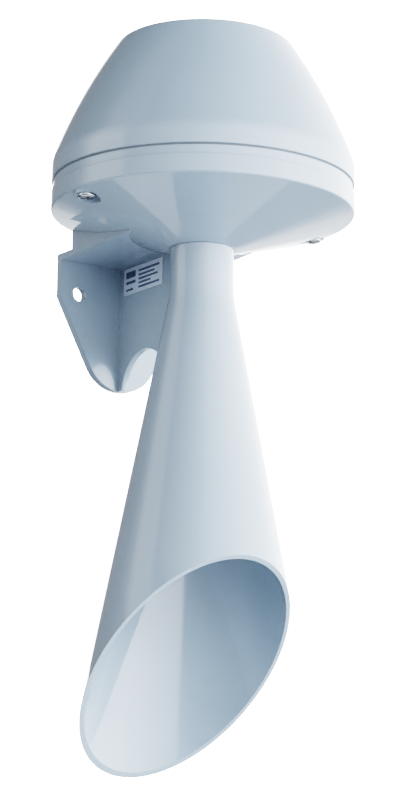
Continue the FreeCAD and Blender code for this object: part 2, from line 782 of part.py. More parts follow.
def clamp_fasteners():
    length = s.clamp_thickness + s.gasket_thickness * 2 + s.diaphragm_thickness + s.screw_grip
    fastener = screw("clamp_screw", s.screw_m3, s.head_m3, s.head_m3_height, length, clamp_top)
    free = [number for number in range(CLAMP_STATIONS)
            if number not in BRIDGE_STATIONS + BREAKER_STATIONS]
    group("clamp_screws", fastener, [(*station(number), 0) for number in free])
    fastener = screw("breaker_screw", s.screw_m3, s.head_m3, s.head_m3_height,
                     length + s.cheek_thickness, clamp_top + s.cheek_thickness)
    group("breaker_screws", fastener, [(*station(number), 0) for number in BREAKER_STATIONS])
    fastener = screw("bridge_screw", s.screw_m4, s.head_m4, s.head_m4_height,
                     length + s.bridge_thickness, clamp_top + s.bridge_thickness)
    group("bridge_screws", fastener, [(*station(number), 0) for number in BRIDGE_STATIONS])


# ---------------------------------------------------------------- armature and magnet

def armature():
    """Soft iron bar with a tab that reaches forward under the contact arm's nose."""
    body = new_body("armature")
    half_length, half_width = s.armature_length / 2, s.armature_width / 2
    sketch = new_sketch(body, "XY_Plane", armature_bottom)
    rectangle(sketch, -half_length, half_length, -half_width, half_width)
    pad(body, sketch, s.armature_thickness)
    sketch = new_sketch(body, "XY_Plane", armature_top - s.armature_thickness / 2)
    tab_end = s.pivot_offset - s.arm_reach + s.nose_length * 2
    rectangle(sketch, -s.tab_width / 2, s.tab_width / 2, -tab_end, -half_width)
    pad(body, sketch, s.armature_thickness / 2)
    sketch = new_sketch(body, "XY_Plane", armature_bottom)
    circle(sketch, 0, 0, s.screw_m4 + s.thread_gap)
    pocket(body, sketch, s.armature_thickness)


def armature_fasteners():
    """A washer each side of the diaphragm and a screw up into the armature."""
    washer = new_body("armature_washer")
    turn(washer, [(s.screw_m4 + s.thread_gap, 0), (s.stud_washer_radius, 0),
                  (s.stud_washer_radius, s.washer_thickness),
                  (s.screw_m4 + s.thread_gap, s.washer_thickness)])
    below = dish_top - s.diaphragm_thickness - s.washer_thickness
    group("armature_washers", washer, [(0, 0, dish_top), (0, 0, below)])
    screw("armature_screw", s.screw_m4, s.head_m4, s.head_m4_height, armature_top - below, below,
          heads_up=False)


def magnet_core():
    """E-shaped stack of laminations, legs down."""
    body = new_body("magnet_core")
    half, leg, centre = s.core_length / 2, s.outer_leg, s.centre_leg / 2
    sketch = new_sketch(body, "XZ_Plane")
    outline(sketch, [(-half, pole_height), (leg - half, pole_height), (leg - half, yoke_bottom),
                     (-centre, yoke_bottom), (-centre, pole_height), (centre, pole_height),
                     (centre, yoke_bottom), (half - leg, yoke_bottom), (half - leg, pole_height),
                     (half, pole_height), (half, core_top), (-half, core_top)])
    pad(body, sketch, s.core_depth, centred=True)
    bolt_holes(body, s.core_depth)


def bolt_holes(body, depth):
    """The two holes for the bolts that hold the yoke between the bridge's cheeks."""
    sketch = new_sketch(body, "XZ_Plane")
    for across in (s.core_bolt_spacing / 2, -s.core_bolt_spacing / 2):
        circle(sketch, across, core_top - s.yoke_height / 2, s.screw_m4 + s.hole_gap)
    pocket(body, sketch, depth * 2, centred=True)


def coil():
    """Moulded bobbin on the centre leg, and the winding on it."""
    gap = s.coil_gap
    inner_x, inner_y = s.centre_leg / 2 + gap / 2, s.core_depth / 2 + gap / 2
    outer_x, outer_y = inner_x + s.bobbin_wall, inner_y + s.bobbin_wall
    flange_x = s.core_length / 2 - s.outer_leg - gap
    flange_y = s.core_depth / 2 + s.coil_reach
    bottom, top = pole_height + gap, yoke_bottom - gap
    bobbin = new_body("coil_bobbin")
    for height, length in ((bottom, s.bobbin_flange), (top - s.bobbin_flange, s.bobbin_flange)):
        sketch = new_sketch(bobbin, "XY_Plane", height)
        rectangle(sketch, -flange_x, flange_x, -flange_y, flange_y)
        pad(bobbin, sketch, length)
    sketch = new_sketch(bobbin, "XY_Plane", bottom)
    rectangle(sketch, -outer_x, outer_x, -outer_y, outer_y)
    pad(bobbin, sketch, top - bottom)
    sketch = new_sketch(bobbin, "XY_Plane", bottom)
    rectangle(sketch, -inner_x, inner_x, -inner_y, inner_y)
    pocket(bobbin, sketch, top - bottom)
    winding = new_body("coil_winding")
    sketch = new_sketch(winding, "XY_Plane", bottom + s.bobbin_flange)
    rectangle(sketch, gap - flange_x, flange_x - gap, gap - flange_y, flange_y - gap)
    rectangle(sketch, -outer_x, outer_x, -outer_y, outer_y)
    pad(winding, sketch, top - bottom - s.bobbin_flange * 2)


def magnet_bridge():
    """Bent strap over the core: feet on the clamp ring, and cheeks that grip the yoke."""
    body = new_body("magnet_bridge")
    thick = s.bridge_thickness
    inside = s.core_length / 2 + thick
    outside = inside + thick
    foot = outside + s.bridge_foot
    sketch = new_sketch(body, "XZ_Plane")
    outline(sketch, [(-foot, clamp_top), (-inside, clamp_top), (-inside, core_top),
                     (inside, core_top), (inside, clamp_top), (foot, clamp_top),
                     (foot, clamp_top + thick), (outside, clamp_top + thick),
                     (outside, bridge_top), (-outside, bridge_top),
                     (-outside, clamp_top + thick), (-foot, clamp_top + thick)])
    pad(body, sketch, s.bridge_width, centred=True)
    half = s.core_depth / 2
    sketch = new_sketch(body, "XY_Plane", yoke_bottom + s.coil_gap)
    for side in (1, -1):
        rectangle(sketch, -s.core_length / 2, s.core_length / 2, side * half,
                  side * s.bridge_width / 2)
    pad(body, sketch, bridge_top - yoke_bottom - s.coil_gap)
    bolt_holes(body, s.bridge_width)
    sketch = new_sketch(body, "XY_Plane", clamp_top)
    for across in (s.clamp_screw_circle, -s.clamp_screw_circle):
        circle(sketch, across, 0, s.screw_m4 + s.hole_gap)
    pocket(body, sketch, thick)
    sketch = new_sketch(body, "XY_Plane", core_top)
    for across in (s.block_screw_spacing / 2, -s.block_screw_spacing / 2):
        circle(sketch, across, 0, s.screw_m3 + s.thread_gap)
    pocket(body, sketch, thick)


def core_fasteners():
    """Two bolts through cheeks and yoke, with their nuts."""
    height = core_top - s.yoke_height / 2
    half = s.bridge_width / 2
    spots = [(s.core_bolt_spacing / 2, 0, 0), (-s.core_bolt_spacing / 2, 0, 0)]
    bolt = new_body("core_bolt", 0, -half, height)
    sketch = new_sketch(bolt, "XZ_Plane")
    circle(sketch, 0, 0, s.head_m4)
    pad(bolt, sketch, s.head_m4_height)
    length = s.bridge_width + s.nut_m4_height + 1
    sketch = new_sketch(bolt, "XZ_Plane", -length)
    circle(sketch, 0, 0, s.screw_m4)
    pad(bolt, sketch, length + s.head_m4_height / 2)
    group("core_bolts", bolt, spots)
    nut = new_body("core_nut", 0, half, height)
    sketch = new_sketch(nut, "XZ_Plane", -s.nut_m4_height)
    hexagon(sketch, 0, 0, s.nut_m4)
    circle(sketch, 0, 0, s.screw_m4 + s.thread_gap)
    pad(nut, sketch, s.nut_m4_height)
    group("core_nuts", nut, spots)


# ---------------------------------------------------------------- electrical pieces

def terminal_spots():
    return [(s.terminal_pitch * (number - (TERMINALS - 1) / 2), 0, 0) for number in range(TERMINALS)]


def terminal_block():
    """Moulded block with a screw well over each wire hole."""
    body = new_body("terminal_block")
    half_length, half_width = s.block_length / 2, s.block_width / 2
    sketch = new_sketch(body, "XY_Plane", bridge_top)
    rectangle(sketch, -half_length, half_length, -half_width, half_width)
    pad(body, sketch, s.block_height)
    sketch = new_sketch(body, "XY_Plane", block_top - s.well_depth)
    for across, _, _ in terminal_spots():
        circle(sketch, across, 0, s.well_radius)
    for across in (s.block_screw_spacing / 2, -s.block_screw_spacing / 2):
        circle(sketch, across, 0, s.head_m3 + s.hole_gap)
    pocket(body, sketch, s.well_depth)
    sketch = new_sketch(body, "XY_Plane", bridge_top)
    for across in (s.block_screw_spacing / 2, -s.block_screw_spacing / 2):
        circle(sketch, across, 0, s.screw_m3 + s.hole_gap)
    pocket(body, sketch, s.block_height - s.well_depth)
    sketch = new_sketch(body, "XZ_Plane")
    for across, _, _ in terminal_spots():
        circle(sketch, across, bridge_top + s.wire_hole_height, s.wire_hole)
    pocket(body, sketch, s.block_width * 2, centred=True)


def terminal_fasteners():
    fastener = screw("terminal_screw", s.terminal_thread, s.well_radius - s.hole_gap,
                     s.head_m3_height, s.head_m3_height, block_top - s.head_m3_height * 2)
    group("terminal_screws", fastener, terminal_spots())
    seat = block_top - s.well_depth
    fastener = screw("block_screw", s.screw_m3, s.head_m3, s.head_m3_height,
                     seat - core_top, seat)
    half = s.block_screw_spacing / 2
    group("block_screws", fastener, [(half, 0, 0), (-half, 0, 0)])


def ledge_pieces():
    """Suppression capacitor and earth screw with its clamp washer, on the base's ledge."""
    across, back = on_circle(s.ledge_circle, CAPACITOR_ANGLE)
    can = new_body("suppression_capacitor", across, back, s.ledge_top)
    rounding = s.capacitor_radius / 5
    turn(can, [(0, s.hole_gap - s.stud_depth), (s.screw_m4, s.hole_gap - s.stud_depth),
               (s.screw_m4, 0), (s.capacitor_radius, 0),
               (s.capacitor_radius, s.capacitor_height - rounding),
               (s.capacitor_radius - rounding, s.capacitor_height), (0, s.capacitor_height)])
    across, back = on_circle(s.ledge_circle, EARTH_ANGLE)
    washer = new_body("earth_washer", across, back, s.ledge_top)
    turn(washer, [(s.screw_m4 + s.hole_gap, 0), (s.earth_washer_radius, 0),
                  (s.earth_washer_radius, s.washer_thickness),
                  (s.screw_m4 + s.hole_gap, s.washer_thickness)])
    screw("earth_screw", s.screw_m4, s.head_m4, s.head_m4_height,
          s.washer_thickness + s.stud_depth - s.hole_gap, s.ledge_top + s.washer_thickness,
          across=across, back=back)


def rounded_path(points, radius):
    """Straight runs joined by tangent arcs."""
    edges = []
    start = points[0]
    for before, corner, after in zip(points, points[1:], points[2:]):
        inward, outward = (before - corner).normalize(), (after - corner).normalize()
        setback = radius / math.tan(inward.getAngle(outward) / 2)
        first, last = corner + inward * setback, corner + outward * setback
        bisector = (inward + outward).normalize()
        centre = corner + bisector * math.hypot(radius, setback)
        edges.append(Part.makeLine(start, first))
        edges.append(Part.Arc(first, centre - bisector * radius, last).toShape())
        start = last
    edges.append(Part.makeLine(start, points[-1]))
    return Part.Wire(edges)


def lead(points, radius, bend):
    """A round insulated wire along a path."""
    path = rounded_path(points, bend)
    section = Part.Wire(Part.makeCircle(radius, points[0], points[1] - points[0]))
    return path.makePipeShell([section], True, False)


def lead_node(name, routes):
    """Wires whose sizes are read from the sheet, as one node."""
    node = doc.addObject("Part::Feature", name)
    radius, bend = s.lead_radius.number, s.lead_bend.number
    wires = []
    for route in routes:
        points = [Vector(*[number_of(value) for value in point]) for point in route]
        wires.append(lead(points, radius, bend))
    node.Shape = Part.makeCompound(wires)
    place(node, 0, 0, 0)
    nodes.append(node)


def internal_leads():
    """Coil and breaker wires up to the terminal block."""
    entry = bridge_top + s.wire_hole_height
    face = s.lead_entry - s.block_width / 2
    coil_top = yoke_bottom - s.coil_gap
    front = -s.core_depth / 2 - s.coil_reach + s.lead_inset
    lead_node("coil_leads", [
        [(spot[0], front, coil_top), (spot[0], front, entry), (spot[0], face, entry)]
        for spot in terminal_spots()[:2]])
    side, post = s.cheek_gap / 2 - s.lead_radius, -s.contact_offset - s.lead_inset
    lead_node("breaker_lead", [
        [(side, post, frame_top), (side, post, core_top),
         (terminal_spots()[-1][0], face - s.lead_run, entry), (terminal_spots()[-1][0], face, entry)]])


# ---------------------------------------------------------------- contact breaker

def breaker_frame():
    """Foot under two of the clamp screws, and two cheeks that carry the pivot pin."""
    body = new_body("breaker_frame")
    thick = s.cheek_thickness
    rear, front = -s.contact_offset - s.cheek_margin, s.cheek_margin - s.pivot_offset
    sketch = new_sketch(body, "XY_Plane", clamp_top)
    rectangle(sketch, -s.frame_width / 2, s.frame_width / 2, -s.seat_outer, front)
    pad(body, sketch, thick)
    sketch = new_sketch(body, "XY_Plane", clamp_top)
    inner, outer = s.cheek_gap / 2, s.cheek_gap / 2 + thick
    for side in (1, -1):
        rectangle(sketch, side * inner, side * outer, rear, front)
    pad(body, sketch, frame_top - clamp_top)
    sketch = new_sketch(body, "XY_Plane", clamp_top)
    for number in BREAKER_STATIONS:
        circle(sketch, *station(number), s.screw_m3 + s.hole_gap)
    pocket(body, sketch, thick)
    sketch = new_sketch(body, "YZ_Plane")
    circle(sketch, -s.pivot_offset, s.pivot_height, s.pivot_radius + s.thread_gap)
    pocket(body, sketch, s.frame_width, centred=True)


def breaker_pieces():
    """Pivot pin, insulating block, adjusting screw with its lock nut, and the arm's spring."""
    pin_length = s.cheek_gap + s.cheek_thickness * 2
    pin = doc.addObject("Part::Cylinder", "breaker_pin")
    pin.Radius, pin.Height = s.pivot_radius.number, number_of(pin_length)
    bind(pin, "Radius", s.pivot_radius)
    bind(pin, "Height", pin_length)
    pin.Placement.Rotation = Rotation(Vector(0, 1, 0), 90)
    place(pin, -pin_length / 2, -s.pivot_offset, s.pivot_height)
    nodes.append(pin)
    block = new_body("contact_block", 0, -s.contact_offset, frame_top - s.block_thickness)
    sketch = new_sketch(block, "XY_Plane")
    rectangle(sketch, -s.cheek_gap / 2, s.cheek_gap / 2, -s.cheek_margin, s.cheek_margin)
    circle(sketch, 0, 0, s.screw_m3 + s.thread_gap)
    pad(block, sketch, s.block_thickness)
    tip = arm_top + s.contact_height
    adjuster = new_body("contact_screw", 0, -s.contact_offset, tip)
    shank = frame_top + s.nut_m4_height + s.screw_stand - tip
    turn(adjuster, [(0, 0), (s.screw_m3, 0), (s.screw_m3, shank), (s.head_m3, shank),
                    (s.head_m3, shank + s.head_m3_height), (0, shank + s.head_m3_height)])
    sketch = new_sketch(adjuster, "XY_Plane", shank + s.head_m3_height / 2)
    rectangle(sketch, -s.head_m3 * 1.5, s.head_m3 * 1.5, -s.driver_slot / 2, s.driver_slot / 2)
    pocket(adjuster, sketch, s.head_m3_height)
    lock = new_body("contact_lock_nut", 0, -s.contact_offset, frame_top)
    sketch = new_sketch(lock, "XY_Plane")
    hexagon(sketch, 0, 0, s.lock_nut)
    circle(sketch, 0, 0, s.screw_m3 + s.thread_gap)
    pad(lock, sketch, s.nut_m4_height * 0.75)


def contact_arm():
    """Rocking arm: hub on the pin, nose over the armature's tab, silver contact at the back."""
    body = new_body("contact_arm", 0, -s.pivot_offset, s.pivot_height)
    half = s.arm_thickness / 2
    contact_behind = s.contact_offset - s.pivot_offset
    nose_depth = s.pivot_height - half - armature_top - s.nose_gap
    nose_end = s.arm_reach - s.nose_length
    sketch = new_sketch(body, "YZ_Plane")
    outline(sketch, [(-contact_behind - s.arm_tail, -half), (nose_end, -half),
                     (nose_end, -half - nose_depth), (s.arm_reach, -half - nose_depth),
                     (s.arm_reach, half), (-contact_behind - s.arm_tail, half)])
    pad(body, sketch, s.arm_width, centred=True)
    sketch = new_sketch(body, "YZ_Plane")
    circle(sketch, 0, 0, s.arm_hub)
    pad(body, sketch, s.hub_length, centred=True)
    sketch = new_sketch(body, "YZ_Plane")
    circle(sketch, 0, 0, s.pivot_radius + s.pivot_gap)
    pocket(body, sketch, s.arm_width * 2, centred=True)
    rivet = new_body("contact_rivet", 0, -s.contact_offset, arm_top)
    turn(rivet, [(0, 0), (s.contact_radius, 0), (s.contact_radius, s.contact_height / 2),
                 (s.contact_radius / 2, s.contact_height), (0, s.contact_height)])


def arm_spring():
    """Small compression spring between the frame's foot and the arm, behind the pivot."""
    wire = s.spring_wire.number
    bottom = number_of(clamp_top + s.cheek_thickness) + wire
    height = number_of(arm_bottom) - wire - bottom
    radius = s.spring_radius.number - wire
    helix = Part.makeHelix(height / SPRING_TURNS, height, radius)
    section = Part.Wire(Part.makeCircle(wire, Vector(radius, 0, 0), Vector(0, 1, 0)))
    node = doc.addObject("Part::Feature", "arm_spring")
    node.Shape = Part.Wire(helix).makePipeShell([section], True, True)
    place(node, 0, -s.spring_offset, bottom)
    nodes.append(node)


# ---------------------------------------------------------------- wall bracket

def wall_plate(body):
    """Plate with tapered sides that run tangentially into the rounded bottom."""
    half = s.bracket_width / 2
    lean_cos, lean_sin = cosine(s.plate_lean), sine(s.plate_lean)
    taper = s.plate_depth - s.shoulder_depth
    corner = (half * lean_cos - taper * lean_sin) / (1 - lean_sin)
    arc_x, arc_z = corner * lean_cos, corner * (1 - lean_sin) - s.plate_depth
    sketch = new_sketch(body, "XZ_Plane", -s.axis_offset)
    outline(sketch, [(-half, shelf_top), (-half, -s.shoulder_depth), (-arc_x, arc_z),
                     (arc_x, arc_z, corner), (half, -s.shoulder_depth), (half, shelf_top)])
    pad(body, sketch, s.plate_thickness)


def saddle(body):
    """Shelf with low walls round it, and bosses for the screws from inside the base."""
    sketch = new_sketch(body, "YZ_Plane")
    outline(sketch, [(s.saddle_front, s.shelf_rise - s.shelf_depth), (plate_front, -s.shelf_depth),
                     (plate_front, shelf_top), (s.saddle_back, shelf_top), (s.saddle_back, 0),
                     (s.saddle_front, 0)])
    pad(body, sketch, s.bracket_width, centred=True)
    inner = s.bracket_width / 2 - s.saddle_wall
    sketch = new_sketch(body, "XY_Plane", shelf_top)
    rectangle(sketch, -inner, inner, 0, s.saddle_back - s.saddle_wall)
    pocket(body, sketch, s.shelf_depth)
    sketch = new_sketch(body, "XY_Plane", shelf_top - s.shelf_thickness / 3)
    for across, back in bracket_screws:
        circle(sketch, across, back, s.bracket_boss_radius)
    pad(body, sketch, s.shelf_depth)


def rib(body):
    """Rib on the bracket's middle plane: its front follows the trumpet, its foot is notched."""
    front = s.neck_radius + s.rib_clearance
    knee = flare_start + s.neck_blend * tangent(s.flare_angle / 2)
    foot = front + (s.plate_depth - knee) * flare_slope
    sketch = new_sketch(body, "YZ_Plane")
    outline(sketch, [(front, shelf_top), (front, -knee), (foot, -s.plate_depth),
                     (plate_front, -s.plate_depth), (plate_front, shelf_top)])
    pad(body, sketch, s.rib_thickness, centred=True)
    sketch = new_sketch(body, "YZ_Plane")
    circle(sketch, s.notch_offset, -s.plate_depth - s.notch_drop, s.notch_radius)
    pocket(body, sketch, s.bracket_width, centred=True)


def bracket():
    """Cast bracket: wall plate, shelf, open-topped saddle under the base, and a notched rib."""
    body = new_body("bracket")
    wall_plate(body)
    saddle(body)
    rib(body)
    reach = s.rim_radius * 1.3
    sketch = new_sketch(body, "XZ_Plane")
    outline(sketch, [(0, underside(0) - s.seam_gap),
                     (reach, underside(reach) - s.seam_gap), (reach, s.rim_height),
                     (0, s.rim_height)])
    doc.recompute()
    before = body.Shape.Volume
    groove = body.newObject("PartDesign::Groove", "bracket_cone_cut")
    groove.Profile = sketch
    groove.ReferenceAxis = (sketch, ["V_Axis"])
    groove.Angle = 360
    doc.recompute()
    if body.Shape.Volume >= before:
        raise RuntimeError("the cone cuts nothing off the bracket")
    sketch = new_sketch(body, "XZ_Plane", -s.axis_offset)
    for across in (s.wall_hole_spacing / 2, -s.wall_hole_spacing / 2):
        circle(sketch, across, -s.rim_height, s.wall_hole_radius)
    pocket(body, sketch, s.plate_thickness)
    sketch = new_sketch(body, "XY_Plane", -s.shelf_depth)
    circle(sketch, s.gland_across, s.gland_back, s.gland_boss_radius + s.hole_gap)
    pocket(body, sketch, s.shelf_depth)
    sketch = new_sketch(body, "XY_Plane", shelf_top - s.shelf_thickness / 3)
    for across, back in bracket_screws:
        circle(sketch, across, back, s.screw_m4 + s.thread_gap)
    pocket(body, sketch, s.shelf_depth)


def bracket_fasteners():
    """Screws from inside the base down into the bracket's bosses."""
    fastener = screw("bracket_screw", s.screw_m4, s.head_m4, s.head_m4_height,
                     s.ledge_top - shelf_top, s.ledge_top)
    group("bracket_screws", fastener, [(across, back, 0) for across, back in bracket_screws])


def rating_label():
    """Blank plate on the rib, just below the shelf."""
    label = doc.addObject("Part::Box", "rating_label")
    label.Length, label.Width, label.Height = (
        s.label_thickness.number, s.label_length.number, s.label_height.number)
    bind(label, "Length", s.label_thickness)
    bind(label, "Width", s.label_length)
    bind(label, "Height", s.label_height)
    place(label, -s.rib_thickness / 2 - s.label_thickness,
          plate_front - s.label_inset - s.label_length,
          -s.shelf_depth - s.label_thickness * 3 - s.label_height)
    nodes.append(label)


def cable_gland():
    """Gland under the shelf: washer, body, rubber seal and cap, open for a cable."""
    at = (s.gland_across, s.gland_back)
    flange = s.gland_hex / 2
    washer = new_body("gland_washer", *at, -s.shelf_depth)
    turn(washer, [(s.gland_thread + s.hole_gap, -s.gland_washer_height),
                  (flange, -s.gland_washer_height), (flange, 0),
                  (s.gland_thread + s.hole_gap, 0)])
    top = -s.shelf_depth - s.gland_washer_height
    nozzle = s.gland_nozzle
    length = s.gland_hex_height + s.gland_cap_height / 2
    inside = s.shelf_depth - s.gland_thread / 3
    body = new_body("gland_body", *at, top)
    turn(body, [(s.gland_bore, -length), (nozzle, -length), (nozzle, 0), (s.gland_thread, 0),
                (s.gland_thread, inside), (s.gland_bore, inside)])
    sketch = new_sketch(body, "XY_Plane", -s.gland_hex_height)
    hexagon(sketch, 0, 0, s.gland_hex / math.sqrt(3))
    circle(sketch, 0, 0, s.gland_bore)
    pad(body, sketch, s.gland_hex_height)
    seal_height = s.gland_cap_height / 3
    seal = new_body("gland_seal", *at, top - length - seal_height)
    turn(seal, [(s.cable_bore, 0), (nozzle - s.hole_gap, 0), (nozzle - s.hole_gap, seal_height),
                (s.cable_bore, seal_height)])
    cap_top = -s.gland_hex_height - s.hole_gap
    cap_floor = -length - seal_height
    skin = s.gland_cap_skin
    cap = new_body("gland_cap", *at, top)
    turn(cap, [(s.gland_cap_bore, cap_floor - skin), (nozzle + skin / 2, cap_floor - skin),
               (nozzle + skin, cap_floor - skin / 2), (nozzle + skin, cap_top),
               (nozzle + s.thread_gap, cap_top), (nozzle + s.thread_gap, cap_floor),
               (s.gland_cap_bore, cap_floor)])


# ---------------------------------------------------------------- the whole horn

def check_document():
    """Stop if any object failed, or if a piece has no valid solid."""
    doc.recompute()
    for item in doc.Objects:
        if {"Invalid", "Error"} & set(item.State):
            raise RuntimeError(f"{item.Name} failed: {item.State}")
    for node in nodes:
        if node.Shape.isNull() or not node.Shape.isValid() or not node.Shape.Solids:
            raise RuntimeError(f"{node.Label} has no valid solid")


def write_parts():
    os.makedirs("parts", exist_ok=True)
    for node in nodes:
        node.Shape.exportStep(os.path.join("parts", f"{node.Label}.step"))
        print(f"{node.Label}: {len(node.Shape.Solids)} solid(s), {node.Shape.Volume:.0f} mm3")


def main():
    base_housing()
    cover()
    cover_seal()
    cover_fasteners()
    trumpet()
    trumpet_fasteners()
    diaphragm_stack()
    clamp_fasteners()
    armature()
    armature_fasteners()
    magnet_core()
    coil()
    magnet_bridge()
    core_fasteners()
    terminal_block()
    terminal_fasteners()
    ledge_pieces()
    internal_leads()
    breaker_frame()
    breaker_pieces()
    contact_arm()
    arm_spring()
    bracket()
    bracket_fasteners()
    rating_label()
    cable_gland()
    check_document()
    write_parts()


main()
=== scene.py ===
"""Looks of the wall-mounted signal horn: paint, metals, small fittings, studio light and camera.

Lengths are metres in the part's own frame: the wall is the plane Y = 0, +Z is up, and the horn
hangs on the -Y side.
"""
import json
import math

import bmesh
import bpy
from mathutils import Matrix, Vector


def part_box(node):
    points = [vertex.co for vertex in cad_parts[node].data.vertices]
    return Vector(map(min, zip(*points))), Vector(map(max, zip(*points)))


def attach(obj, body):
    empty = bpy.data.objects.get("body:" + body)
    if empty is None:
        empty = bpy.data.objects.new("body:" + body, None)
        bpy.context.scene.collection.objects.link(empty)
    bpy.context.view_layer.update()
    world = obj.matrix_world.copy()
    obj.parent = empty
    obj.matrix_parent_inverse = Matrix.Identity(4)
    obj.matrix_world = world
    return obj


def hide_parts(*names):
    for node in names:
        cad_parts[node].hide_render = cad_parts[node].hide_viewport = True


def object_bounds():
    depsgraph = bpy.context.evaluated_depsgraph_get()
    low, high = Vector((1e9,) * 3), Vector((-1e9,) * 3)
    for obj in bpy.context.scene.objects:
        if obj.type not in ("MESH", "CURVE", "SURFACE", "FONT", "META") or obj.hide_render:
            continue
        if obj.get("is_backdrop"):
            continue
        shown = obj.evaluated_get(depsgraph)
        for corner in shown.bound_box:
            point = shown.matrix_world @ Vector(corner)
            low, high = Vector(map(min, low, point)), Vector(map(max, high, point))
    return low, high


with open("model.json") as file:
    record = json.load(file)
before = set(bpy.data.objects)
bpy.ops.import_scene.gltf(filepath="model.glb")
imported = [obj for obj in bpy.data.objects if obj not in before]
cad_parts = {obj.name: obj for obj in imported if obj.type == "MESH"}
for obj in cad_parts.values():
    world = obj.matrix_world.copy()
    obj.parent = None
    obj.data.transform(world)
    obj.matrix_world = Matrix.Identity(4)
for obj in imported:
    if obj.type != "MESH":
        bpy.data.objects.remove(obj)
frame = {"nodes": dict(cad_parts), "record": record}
cad_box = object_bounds()
record = frame["record"]
nodes = frame["nodes"]
body_of_node = {node: body for body, members in record["behaviour"]["bodies"].items()
                for node in members}
slot_of_node = {entry["node"]: entry["material_slot"] for entry in record["subparts"]}

MM = 0.001


# ---------------------------------------------------------------- shared helpers

def placed(name, data):
    """A new object in the scene."""
    made = bpy.data.objects.new(name, data)
    bpy.context.scene.collection.objects.link(made)
    return made


def colour_ramp(tree, value, stops):
    """Colour by value in a node tree, from stops of (position, colour)."""
    node = tree.nodes.new("ShaderNodeValToRGB")
    elements = node.color_ramp.elements
    while len(elements) < len(stops):
        elements.new(0.5)
    for element, (position, colour) in zip(elements, stops):
        element.position = position
        element.color = (*colour, 1.0)
    tree.links.new(value, node.inputs["Fac"])
    return node.outputs["Color"]


# ---------------------------------------------------------------- material helpers

class Shader:
    """A material's node tree with a Principled shader and object coordinates."""

    def __init__(self, name, rough=0.4, metallic=0.0, coat=0.0, coat_rough=0.05, specular=0.5):
        self.material = bpy.data.materials.new(name)
        self.material.use_nodes = True
        self.tree = self.material.node_tree
        self.main = self.tree.nodes["Principled BSDF"]
        self.main.inputs["Roughness"].default_value = rough
        self.main.inputs["Metallic"].default_value = metallic
        self.main.inputs["Coat Weight"].default_value = coat
        self.main.inputs["Coat Roughness"].default_value = coat_rough
        self.main.inputs["Specular IOR Level"].default_value = specular
        self.place = self.tree.nodes.new("ShaderNodeTexCoord").outputs["Object"]

    def link(self, source, target):
        self.tree.links.new(source, target)

    def stretched(self, scale):
        """Object coordinates scaled along each axis."""
        node = self.tree.nodes.new("ShaderNodeMapping")
        node.inputs["Scale"].default_value = scale
        self.link(self.place, node.inputs["Vector"])
        return node.outputs["Vector"]

    def noise(self, scale, detail=3.0, rough=0.5, coords=None):
        node = self.tree.nodes.new("ShaderNodeTexNoise")
        node.inputs["Scale"].default_value = scale
        node.inputs["Detail"].default_value = detail
        node.inputs["Roughness"].default_value = rough
        self.link(coords or self.place, node.inputs["Vector"])
        return node.outputs["Fac"]

    def spread(self, value, low, high, start=0.3, end=0.7):
        """value from start to end mapped to low to high."""
        node = self.tree.nodes.new("ShaderNodeMapRange")
        node.inputs["From Min"].default_value = start
        node.inputs["From Max"].default_value = end
        node.inputs["To Min"].default_value = low
        node.inputs["To Max"].default_value = high
        self.link(value, node.inputs["Value"])
        return node.outputs["Result"]

    def colour(self, value, dark, light, start=0.3, end=0.7):
        ramp = colour_ramp(self.tree, value, [(start, dark), (end, light)])
        self.link(ramp, self.main.inputs["Base Color"])

    def roughness(self, value, low, high):
        self.link(self.spread(value, low, high), self.main.inputs["Roughness"])

    def bump(self, height, depth, strength=1.0):
        node = self.tree.nodes.new("ShaderNodeBump")
        node.inputs["Distance"].default_value = depth
        node.inputs["Strength"].default_value = strength
        self.link(height, node.inputs["Height"])
        self.link(node.outputs["Normal"], self.main.inputs["Normal"])


def tint(colour, factor):
    return tuple(min(channel * factor, 1.0) for channel in colour)


# ---------------------------------------------------------------- materials

ENAMEL = (0.295, 0.386, 0.480)  # pale blue-grey, linear
VARNISH_IOR = 1.6


def enamel(name, coat_rough):
    """Glossy pale blue-grey enamel, with the faint orange peel of a sprayed coat."""
    shader = Shader(name, rough=0.34, coat=1.0, coat_rough=coat_rough)
    shader.main.inputs["Coat IOR"].default_value = VARNISH_IOR
    clouds = shader.noise(scale=26.0, detail=4.0)
    shader.colour(clouds, dark=tint(ENAMEL, 0.97), light=tint(ENAMEL, 1.03))
    shader.roughness(shader.noise(scale=140.0, detail=2.0), low=0.30, high=0.38)
    shader.bump(shader.noise(scale=620.0, detail=1.0), depth=0.004 * MM)
    return shader.material


def grey_paint():
    return enamel("grey_paint", coat_rough=0.025)


def bracket_paint():
    """The same enamel over the bracket's rougher casting, so less of a mirror."""
    return enamel("bracket_paint", coat_rough=0.13)


def metal(name, colour, rough, grain=(900.0, 900.0, 90.0)):
    """Bare or plated metal with a fine grain that is drawn out along Z."""
    shader = Shader(name, rough=rough, metallic=1.0)
    lines = shader.noise(scale=1.0, detail=4.0, rough=0.6, coords=shader.stretched(grain))
    stains = shader.noise(scale=110.0, detail=3.0)
    shader.colour(stains, dark=tint(colour, 0.82), light=tint(colour, 1.06))
    shader.roughness(lines, low=rough * 0.75, high=rough * 1.35)
    shader.bump(lines, depth=0.006 * MM)
    return shader.material


def zinc_plate():
    return metal("zinc_plate", (0.56, 0.59, 0.63), rough=0.17)


def spring_steel():
    return metal("spring_steel", (0.42, 0.43, 0.45), rough=0.3)


def soft_iron():
    return metal("soft_iron", (0.30, 0.30, 0.31), rough=0.45, grain=(300.0, 300.0, 2200.0))


def brass():
    return metal("brass", (0.72, 0.52, 0.24), rough=0.28)


def silver_contact():
    return metal("silver_contact", (0.85, 0.84, 0.81), rough=0.22)


